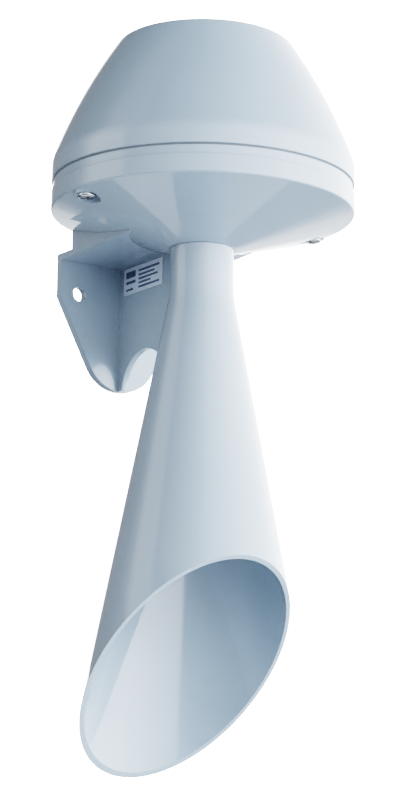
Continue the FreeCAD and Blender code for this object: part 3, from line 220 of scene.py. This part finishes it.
def copper_wire():
    """Enamelled winding wire: copper under clear varnish."""
    shader = Shader("copper_wire", rough=0.3, metallic=1.0, coat=0.8)
    shader.colour(shader.noise(scale=160.0), dark=(0.40, 0.13, 0.05), light=(0.60, 0.24, 0.09))
    shader.roughness(shader.noise(scale=700.0), low=0.22, high=0.38)
    return shader.material


def plastic(name, colour, rough, depth=0.02 * MM):
    """Moulded plastic or rubber with a fine spark-eroded skin."""
    shader = Shader(name, rough=rough)
    tone = shader.noise(scale=90.0, detail=3.0)
    shader.colour(tone, dark=tint(colour, 0.86), light=tint(colour, 1.12))
    grain = shader.noise(scale=2400.0, detail=2.0)
    shader.roughness(grain, low=rough * 0.85, high=rough * 1.15)
    shader.bump(grain, depth)
    return shader.material


def rubber():
    return plastic("rubber", (0.018, 0.019, 0.021), rough=0.62)


def seal_rubber():
    """Paler rubber for the cover's seal, which shows as a grey line and not a black one."""
    return plastic("seal_rubber", (0.15, 0.18, 0.21), rough=0.6)


def moulded_black():
    return plastic("moulded_black", (0.022, 0.022, 0.024), rough=0.38)


def grey_nylon():
    return plastic("grey_nylon", (0.20, 0.22, 0.245), rough=0.42)


def wire_insulation():
    return plastic("wire_insulation", (0.035, 0.055, 0.16), rough=0.35, depth=0.01 * MM)


def capacitor_can():
    return plastic("capacitor_can", (0.50, 0.36, 0.10), rough=0.3, depth=0.01 * MM)


def fibre():
    """Pressed fibre gasket sheet: brown-grey with short strands."""
    shader = Shader("fibre", rough=0.85)
    drawn = shader.stretched((2600.0, 700.0, 1500.0))
    strands = shader.noise(scale=1.0, detail=5.0, rough=0.7, coords=drawn)
    shader.colour(strands, dark=(0.16, 0.11, 0.075), light=(0.31, 0.23, 0.16))
    shader.bump(strands, depth=0.03 * MM)
    return shader.material


def label():
    """Satin foil, very slightly mottled."""
    shader = Shader("label", rough=0.32, coat=0.4, coat_rough=0.15)
    shader.colour(shader.noise(scale=240.0), dark=(0.58, 0.69, 0.82), light=(0.66, 0.77, 0.89))
    shader.roughness(shader.noise(scale=1500.0), low=0.28, high=0.4)
    return shader.material


def label_ink():
    shader = Shader("label_ink", rough=0.45)
    shader.colour(shader.noise(scale=900.0), dark=(0.05, 0.085, 0.17), light=(0.085, 0.13, 0.23))
    shader.bump(shader.noise(scale=3000.0), depth=0.004 * MM)
    return shader.material


MAKERS = [grey_paint, bracket_paint, zinc_plate, spring_steel, soft_iron, brass, silver_contact,
          copper_wire, rubber, seal_rubber, fibre, moulded_black, grey_nylon, capacitor_can,
          wire_insulation, label, label_ink]
materials = {maker.__name__: maker() for maker in MAKERS}


def dress_nodes():
    """Each CAD node gets its slot's material; the seal and the bracket get their own."""
    for name, node in nodes.items():
        node.data.materials.clear()
        node.data.materials.append(materials[slot_of_node[name]])
    nodes["cover_seal"].data.materials[0] = materials["seal_rubber"]
    nodes["bracket"].data.materials[0] = materials["bracket_paint"]


# ---------------------------------------------------------------- mesh helpers

def piece(name, mesh_builder, slot, body, material=None):
    """An object from a bmesh, riding on a body, with its slot's material."""
    mesh = bpy.data.meshes.new(name)
    bmesh.ops.recalc_face_normals(mesh_builder, faces=mesh_builder.faces)
    mesh_builder.to_mesh(mesh)
    mesh_builder.free()
    mesh.materials.append(materials[material or slot])
    made = placed(name, mesh)
    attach(made, body)
    return made


def smooth_by_angle(made, degrees=35.0):
    """Smooth shading that keeps edges sharper than the angle."""
    mesh = made.data
    builder = bmesh.new()
    builder.from_mesh(mesh)
    limit = math.radians(degrees)
    for face in builder.faces:
        face.smooth = True
    for edge in builder.edges:
        edge.smooth = len(edge.link_faces) == 2 and edge.calc_face_angle(0.0) < limit
    builder.to_mesh(mesh)
    builder.free()


def bridge(builder, first, second):
    """Adds the strip of faces between two closed rings of the same number of points."""
    for step in range(len(first)):
        after = (step + 1) % len(first)
        builder.faces.new((first[step], first[after], second[after], second[step]))


def rounded_outline(middle, half, corner, steps=6):
    """Points round a rectangle with rounded corners; half reaches to the corners' centres."""
    points = []
    for quarter, (side_a, side_b) in enumerate([(1, 1), (-1, 1), (-1, -1), (1, -1)]):
        for step in range(steps + 1):
            angle = math.radians(90 * (quarter + step / steps))
            points.append((middle[0] + side_a * half[0] + corner * math.cos(angle),
                           middle[1] + side_b * half[1] + corner * math.sin(angle)))
    return points


def revolve(builder, profile, segments=48):
    """Adds a solid of revolution about Z.

    The profile is a list of (radius, height) that starts and ends on the axis.
    """
    rings = []
    for radius, height in profile:
        if radius == 0:
            rings.append([builder.verts.new((0, 0, height))])
            continue
        turns = [math.tau * step / segments for step in range(segments)]
        rings.append([builder.verts.new((radius * math.cos(turn), radius * math.sin(turn), height))
                      for turn in turns])
    for low, high in zip(rings, rings[1:]):
        for step in range(segments):
            after = (step + 1) % segments
            corners = [low[step % len(low)], low[after % len(low)],
                       high[after % len(high)], high[step % len(high)]]
            distinct = list(dict.fromkeys(corners))
            if len(distinct) > 2:
                builder.faces.new(distinct)


def prism(builder, outline, bottom, top, shrink=1.0):
    """Adds a prism over a flat outline; shrink scales its top outline."""
    low = [builder.verts.new((x, y, bottom)) for x, y in outline]
    high = [builder.verts.new((x * shrink, y * shrink, top)) for x, y in outline]
    builder.faces.new(low[::-1])
    builder.faces.new(high)
    bridge(builder, low, high)


def cut(builder, tool):
    """builder's solid minus tool's, as a new bmesh."""
    pair = []
    for name, source in (("solid", builder), ("tool", tool)):
        bmesh.ops.recalc_face_normals(source, faces=source.faces)
        mesh = bpy.data.meshes.new(name)
        source.to_mesh(mesh)
        source.free()
        pair.append(placed(name, mesh))
    solid, cutter = pair
    modifier = solid.modifiers.new("cut", "BOOLEAN")
    modifier.operation = "DIFFERENCE"
    modifier.solver = "EXACT"
    modifier.object = cutter
    result = bmesh.new()
    result.from_object(solid, bpy.context.evaluated_depsgraph_get())
    bpy.data.objects.remove(solid)
    bpy.data.objects.remove(cutter)
    return result


POINT_GRID = 1e7                # steps to a metre at which two points count as one


def islands(name):
    """The points of each separate solid of a CAD node."""
    mesh = nodes[name].data
    keys = [tuple(round(value * POINT_GRID) for value in vertex.co) for vertex in mesh.vertices]
    parent = {key: key for key in keys}

    def root(key):
        while parent[key] != key:
            parent[key] = parent[parent[key]]
            key = parent[key]
        return key

    for edge in mesh.edges:
        first, second = (root(keys[index]) for index in edge.vertices)
        parent[first] = second
    groups = {}
    for key, vertex in zip(keys, mesh.vertices):
        groups.setdefault(root(key), []).append(vertex.co.copy())
    return [groups[key] for key in sorted(groups)]


def limits(points):
    low = Vector([min(point[axis] for point in points) for axis in range(3)])
    high = Vector([max(point[axis] for point in points) for axis in range(3)])
    return low, high


# ---------------------------------------------------------------- screws

def cross_outline(reach, half):
    """Plan of a cross recess: four arms of half width half."""
    return [(reach, -half), (reach, half), (half, half), (half, reach),
            (-half, reach), (-half, half), (-reach, half), (-reach, -half),
            (-half, -half), (-half, -reach), (half, -reach), (half, -half)]


def screw_solid(head, height, shank, length, drive, turn):
    """Pan-head screw: the head's seat at height 0, the head above it, the ridged shank below."""
    pitch = 0.35 * shank
    depth = 0.14 * shank
    ridges = max(int(length * 0.8 / pitch), 1)
    thread_top = -length * 0.15
    plain_shank = shank * 0.98
    seat_radius = head * 0.97
    seat_edge = height * 0.08
    side_top = height * 0.5
    crown = 0.08 * height
    profile = [(0, -length), (shank - depth, -length)]
    for ridge in range(ridges):
        bottom = -length + (length + thread_top) * ridge / ridges
        step = (length + thread_top) / ridges
        profile += [(shank, bottom + step * 0.5), (shank - depth, bottom + step * 0.98)]
    profile += [(plain_shank, thread_top), (plain_shank, 0), (seat_radius, 0),
                (head, seat_edge), (head, side_top)]
    for degrees in range(15, 91, 15):
        angle = math.radians(degrees)
        profile.append((head * (0.7 + 0.3 * math.cos(angle)),
                        side_top + (side_top - crown) * math.sin(angle)))
    profile += [(head * 0.35, height - crown * 0.25), (0, height)]
    solid = bmesh.new()
    revolve(solid, profile)
    tool = bmesh.new()
    above = height * 1.6
    if drive == "cross":
        prism(tool, cross_outline(head * 0.56, head * 0.105), height * 0.28, above, shrink=1.2)
    else:
        reach, half = head * 1.3, head * 0.13
        slot = [(-reach, -half), (reach, -half), (reach, half), (-reach, half)]
        prism(tool, slot, height * 0.5, above)
    bmesh.ops.rotate(tool, verts=tool.verts, matrix=Matrix.Rotation(turn, 3, "Z"))
    return cut(solid, tool)


HEAD_SIDE = 0.9                 # share of a head's radius beyond which a point is on its side
TIP_BAND = 0.3 * MM             # height of the band at a screw's end that gives its shank's radius
FIRST_TURN = 25.0               # degrees by which the first screw's recess is turned
NEXT_TURN = 37.0                # degrees more for each screw after it


def screws(name, drive="cross"):
    """Detailed screws in place of a node of plain ones; every screw's axis is vertical."""
    whole = bmesh.new()
    for index, points in enumerate(islands(name)):
        low, high = limits(points)
        centre = (low + high) / 2
        head = (high.x - low.x) / 2

        def reach(point):
            return math.hypot(point.x - centre.x, point.y - centre.y)

        wide = [point.z for point in points if reach(point) > head * HEAD_SIDE]
        head_up = max(wide) > centre.z
        seat = min(wide) if head_up else max(wide)
        height = max(wide) - min(wide)
        far = low.z if head_up else high.z
        shank = max(reach(point) for point in points if abs(point.z - far) < TIP_BAND)
        length = abs(seat - far)
        turn = math.radians(FIRST_TURN + NEXT_TURN * index)
        screw = screw_solid(head, height, shank, length, drive, turn)
        flip = Matrix.Identity(4) if head_up else Matrix.Rotation(math.pi, 4, "X")
        place = Matrix.Translation((centre.x, centre.y, seat)) @ flip
        bmesh.ops.transform(screw, matrix=place, verts=screw.verts)
        mesh = bpy.data.meshes.new("screw")
        screw.to_mesh(mesh)
        screw.free()
        whole.from_mesh(mesh)
        bpy.data.meshes.remove(mesh)
    made = piece(name + "_detailed", whole, slot_of_node[name], body_of_node[name])
    smooth_by_angle(made)
    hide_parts(name)


# ---------------------------------------------------------------- rating label

def rounded_box(builder, low, high, corner, steps=6):
    """Adds a plate across X with rounded corners in the YZ plane."""
    middle = (low.y + high.y) / 2, (low.z + high.z) / 2
    half = (high.y - low.y) / 2 - corner, (high.z - low.z) / 2 - corner
    outline = rounded_outline(middle, half, corner, steps)
    left = [builder.verts.new((low.x, y, z)) for y, z in outline]
    right = [builder.verts.new((high.x, y, z)) for y, z in outline]
    builder.faces.new(left)
    builder.faces.new(right[::-1])
    bridge(builder, left, right)


PRINT_DEPTH = 0.03 * MM
# bars on the label as shares of its length and height: start, end, bottom, top
LABEL_BARS = [(0.06, 0.30, 0.62, 0.86), (0.06, 0.30, 0.40, 0.50), (0.06, 0.24, 0.14, 0.22),
              (0.38, 0.92, 0.76, 0.84), (0.38, 0.80, 0.60, 0.67), (0.38, 0.88, 0.45, 0.52),
              (0.38, 0.70, 0.30, 0.37), (0.38, 0.92, 0.14, 0.22)]


def rating_label():
    """Blank rating plate: a foil with plain printed bars and no lettering."""
    low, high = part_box("rating_label")
    foil_face = low.x + PRINT_DEPTH
    foil = bmesh.new()
    rounded_box(foil, Vector((foil_face, low.y, low.z)), high, corner=0.8 * MM)
    plate = piece("rating_label_foil", foil, "label", "root")
    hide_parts("rating_label")
    ink = bmesh.new()
    length, tall = high.y - low.y, high.z - low.z
    for start, end, bottom, top in LABEL_BARS:
        bar_low = Vector((low.x, high.y - length * end, low.z + tall * bottom))
        bar_high = Vector((foil_face, high.y - length * start, low.z + tall * top))
        rounded_box(ink, bar_low, bar_high, corner=0.15 * MM, steps=2)
    piece("rating_label_print", ink, "label", "root", "label_ink")


# ---------------------------------------------------------------- cable gland's cap

# the cap's outside as (share of its height, share of its radius, share of the ribs' depth)
CAP_ROWS = [(0.0, 0.60, 0.0), (0.03, 0.78, 0.0), (0.12, 0.90, 0.3), (0.26, 0.955, 1.0),
            (0.9, 0.955, 1.0), (0.97, 0.93, 0.6), (1.0, 0.90, 0.0)]
RIB_DEPTH = 0.045               # share of the cap's radius


def gland_cap():
    """Domed clamping nut with grip ribs round its skirt."""
    low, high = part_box("gland_cap")
    centre = (low + high) / 2
    radius, height = (high.x - low.x) / 2, high.z - low.z
    bore = radius * 0.53
    wide_bore = bore * 1.5
    ribs, per_rib = 24, 6
    segments = ribs * per_rib
    builder = bmesh.new()
    rings = []
    for up, share, ribbed in CAP_ROWS:
        ring = []
        for step in range(segments):
            angle = math.tau * step / segments
            wave = 0.5 + 0.5 * math.cos(angle * ribs)
            reach = radius * (share + RIB_DEPTH * ribbed * wave)
            ring.append(builder.verts.new((centre.x + reach * math.cos(angle),
                                           centre.y + reach * math.sin(angle),
                                           low.z + height * up)))
        rings.append(ring)
    for up, reach in ((1.0, wide_bore), (0.3, wide_bore), (0.0, bore)):
        rings.append([builder.verts.new((centre.x + reach * math.cos(math.tau * step / segments),
                                         centre.y + reach * math.sin(math.tau * step / segments),
                                         low.z + height * up)) for step in range(segments)])
    for first, second in zip(rings, rings[1:] + rings[:1]):
        bridge(builder, first, second)
    made = piece("gland_cap_ribbed", builder, "grey_nylon", "root")
    smooth_by_angle(made, 40.0)
    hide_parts("gland_cap")


# ---------------------------------------------------------------- coil

def coil_turns():
    """Outer layer of copper turns over the CAD's solid winding."""
    low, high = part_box("coil_winding")
    wire = 0.42 * MM            # radius
    corner = 3.0 * MM
    inset = 1.1                 # first turn's height above the end, in wire radii
    turns = int((high.z - low.z) / (2 * wire))
    centre = (low + high) / 2
    half_x, half_y = (high.x - low.x) / 2 - wire, (high.y - low.y) / 2 - wire
    loop = rounded_outline((0, 0), (half_x - corner, half_y - corner), corner)
    curve = bpy.data.curves.new("coil_turns", "CURVE")
    curve.dimensions = "3D"
    curve.bevel_depth = wire
    curve.bevel_resolution = 3
    curve.use_fill_caps = True
    spline = curve.splines.new("POLY")
    spline.points.add(turns * len(loop) - 1)
    rise = (high.z - low.z - 2 * inset * wire) / turns
    for index, point in enumerate(spline.points):
        x, y = loop[index % len(loop)]
        z = low.z + inset * wire + rise * index / len(loop)
        point.co = (centre.x + x, centre.y + y, z, 1.0)
    made = placed("coil_turns", curve)
    curve.materials.append(materials["copper_wire"])
    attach(made, body_of_node["coil_winding"])


# ---------------------------------------------------------------- edges

WELD_DISTANCE = 0.001 * MM
SHARP_ANGLE = 40                # degrees beyond which an edge is rounded


def soften(name, width):
    """Small rounding on a CAD node's sharp edges."""
    node = nodes[name]
    weld = node.modifiers.new("weld", "WELD")
    weld.merge_threshold = WELD_DISTANCE
    bevel = node.modifiers.new("soft_edges", "BEVEL")
    bevel.limit_method = "ANGLE"
    bevel.angle_limit = math.radians(SHARP_ANGLE)
    bevel.width = width
    bevel.segments = 2
    bevel.harden_normals = True


# ---------------------------------------------------------------- studio

class Surround:
    """The world's node tree: light from all round, by heading and height of the direction."""

    def __init__(self):
        world = bpy.data.worlds.new("studio")
        bpy.context.scene.world = world
        world.use_nodes = True
        self.tree = world.node_tree
        self.tree.nodes.clear()
        self.split = self.new("ShaderNodeSeparateXYZ")
        looking = self.new("ShaderNodeTexCoord").outputs["Generated"]
        self.link(looking, self.split.inputs["Vector"])

    def new(self, kind):
        return self.tree.nodes.new(kind)

    def link(self, source, target):
        self.tree.links.new(source, target)

    def heading(self):
        """Heading of the direction as a share of a turn, 0.5 straight in front of the horn."""
        forward = self.new("ShaderNodeMath")
        forward.operation = "MULTIPLY"
        forward.inputs[1].default_value = -1.0
        self.link(self.split.outputs["Y"], forward.inputs[0])
        angle = self.new("ShaderNodeMath")
        angle.operation = "ARCTAN2"
        self.link(self.split.outputs["X"], angle.inputs[0])
        self.link(forward.outputs["Value"], angle.inputs[1])
        share = self.new("ShaderNodeMapRange")
        share.inputs["From Min"].default_value = -math.pi
        share.inputs["From Max"].default_value = math.pi
        self.link(angle.outputs["Value"], share.inputs["Value"])
        return share.outputs["Result"]

    def screens(self, share, stops):
        """Brightness by heading, from stops of (degrees, level)."""
        tinted = []
        for degrees, level in stops:
            warmth = min(level / FULLY_WARM, 1.0)
            light = [level * (cool + (warm - cool) * warmth) for cool, warm in zip(COOL, WARM)]
            tinted.append(((degrees + 180) / 360, light))
        return colour_ramp(self.tree, share, tinted)

    def by_height(self, stops):
        """Factor by height, from stops of (sine of the elevation, level)."""
        share = self.new("ShaderNodeMapRange")
        share.inputs["From Min"].default_value = -1.0
        self.link(self.split.outputs["Z"], share.inputs["Value"])
        greys = [((height + 1) / 2, (level, level, level)) for height, level in stops]
        return colour_ramp(self.tree, share.outputs["Result"], greys)

    def mixed(self, factor, first, second, blend="MIX"):
        node = self.new("ShaderNodeMix")
        node.data_type = "RGBA"
        node.blend_type = blend
        if isinstance(factor, float):
            node.inputs[0].default_value = factor
        else:
            self.link(factor, node.inputs[0])
        self.link(first, node.inputs[6])
        self.link(second, node.inputs[7])
        return node.outputs[2]


def world_light():
    """Studio surround: bright screens on the horn's right and behind it, a strip on its left."""
    world = Surround()
    share = world.heading()
    high = world.screens(share, HIGH_SCREENS)
    low = world.screens(share, LOW_SCREENS)
    level = world.mixed(world.by_height(LOW_TO_HIGH), low, high)
    level = world.mixed(1.0, level, world.by_height(HEIGHT_LEVELS), "MULTIPLY")
    lit = world.new("ShaderNodeBackground")
    lit.inputs["Strength"].default_value = SURROUND
    world.link(level, lit.inputs["Color"])
    seen = world.new("ShaderNodeBackground")
    seen.inputs["Color"].default_value = (1.0, 1.0, 1.0, 1.0)
    seen.inputs["Strength"].default_value = BACKGROUND
    choose = world.new("ShaderNodeMixShader")
    world.link(world.new("ShaderNodeLightPath").outputs["Is Camera Ray"], choose.inputs["Fac"])
    world.link(lit.outputs["Background"], choose.inputs[1])
    world.link(seen.outputs["Background"], choose.inputs[2])
    world.link(choose.outputs["Shader"], world.new("ShaderNodeOutputWorld").inputs["Surface"])


SURROUND = 4.75                 # strength of the surround where it is brightest
BACKGROUND = 22.0               # strength of the white that shows behind the horn
COOL = (0.95, 0.99, 1.03)       # tint of the dim screens
WARM = (0.97, 1.0, 1.03)        # tint of the bright screens
FULLY_WARM = 0.7                # brightness from which a screen has the warm tint
# brightness by heading in degrees, above and below eye level
HIGH_SCREENS = [(-180, 0.06), (-150, 0.07), (-139, 0.13), (-125, 0.42), (-100, 0.40),
                (-94, 0.16), (-50, 0.30), (-28, 0.46), (-8, 0.72), (35, 0.95), (100, 1.0),
                (158, 0.7), (164, 0.06)]
LOW_SCREENS = [(-180, 0.03), (-158, 0.03), (-148, 0.10), (-126, 0.16), (-98, 0.16),
               (-88, 0.05), (-18, 0.03), (-13, 0.72), (50, 1.0), (80, 0.75), (105, 0.40),
               (158, 0.30), (164, 0.03)]
# by the sine of the elevation: share of the high screens, and brightness of both
LOW_TO_HIGH = [(0.0, 0.0), (0.12, 1.0)]
HEIGHT_LEVELS = [(-1.0, 0.2), (-0.4, 0.2), (-0.24, 1.0), (0.3, 1.0), (0.8, 0.26), (1.0, 0.06)]


FLOOR_DROP = 1.1                # floor's depth below the wall holes
FLOOR_RADIUS = 1.16


def floor():
    """Plain pale round floor, far below the horn because it hangs on a wall."""
    builder = bmesh.new()
    bmesh.ops.create_circle(builder, cap_ends=True, radius=FLOOR_RADIUS, segments=96)
    mesh = bpy.data.meshes.new("floor")
    builder.to_mesh(mesh)
    builder.free()
    made = placed("floor", mesh)
    made.location = (0, 0, -FLOOR_DROP)
    shader = Shader("floor", rough=0.7)
    shader.colour(shader.noise(scale=3.0), dark=(0.74, 0.76, 0.79), light=(0.78, 0.80, 0.83))
    mesh.materials.append(shader.material)
    made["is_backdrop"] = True


def direction(azimuth, elevation):
    """Unit vector from the horn; azimuth 0 is straight in front of it. Angles in radians."""
    return Vector((math.sin(azimuth) * math.cos(elevation),
                   -math.cos(azimuth) * math.cos(elevation), math.sin(elevation)))


def softbox(name, azimuth, elevation, distance, width, height, watts):
    """Rectangular soft light that looks at the middle of the horn."""
    data = bpy.data.lights.new(name, "AREA")
    data.shape = "RECTANGLE"
    data.size = width
    data.size_y = height
    data.energy = watts
    made = placed(name, data)
    away = direction(math.radians(azimuth), math.radians(elevation))
    middle = (cad_box[0] + cad_box[1]) / 2
    made.location = middle + away * distance
    made.rotation_euler = away.to_track_quat("Z", "Y").to_euler()
    made.visible_glossy = False


CAMERA_PLACE = (-0.64562, -1.00992, -0.29383)
CAMERA_TURN = (-0.601, -0.206, 0.014)   # yaw, pitch and roll in radians
SENSOR = 36.0                   # millimetres along the picture's long side
LENS = 124.54                   # millimetres


def camera():
    """Camera low and to the horn's left, looking slightly up."""
    data = bpy.data.cameras.new("camera")
    data.sensor_fit = "AUTO"
    data.sensor_width = SENSOR
    data.lens = LENS
    data.clip_start = 0.05
    data.clip_end = 50.0
    yaw, pitch, roll = CAMERA_TURN
    back = direction(yaw, pitch)
    level = Vector((math.cos(yaw), math.sin(yaw), 0.0))
    upright = back.cross(level)
    right = math.cos(roll) * level + math.sin(roll) * upright
    up = math.cos(roll) * upright - math.sin(roll) * level
    turn = Matrix((right, up, back)).transposed().to_4x4()
    made = placed("camera", data)
    made.matrix_world = Matrix.Translation(CAMERA_PLACE) @ turn
    bpy.context.scene.camera = made


CROSS_SCREWS = ("cover_screws", "clamp_screws", "breaker_screws", "bridge_screws",
                "block_screws", "bracket_screws", "terminal_screws", "armature_screw",
                "earth_screw")

dress_nodes()
for screw_node in CROSS_SCREWS:
    screws(screw_node)
screws("contact_screw", drive="slot")
rating_label()
gland_cap()
coil_turns()
soften("bracket", width=0.6 * MM)
world_light()
floor()
softbox("key", azimuth=40, elevation=25, distance=1.6, width=0.7, height=1.2, watts=14.0)
softbox("fill", azimuth=14, elevation=-38, distance=1.3, width=0.8, height=0.8, watts=6.0)
camera()
bpy.context.scene.view_settings.view_transform = "Filmic"
bpy.context.scene.view_settings.look = "High Contrast"

boxes = {"cad": cad_box, "visual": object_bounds()}
{key: [list(corner) for corner in box] for key, box in boxes.items()}
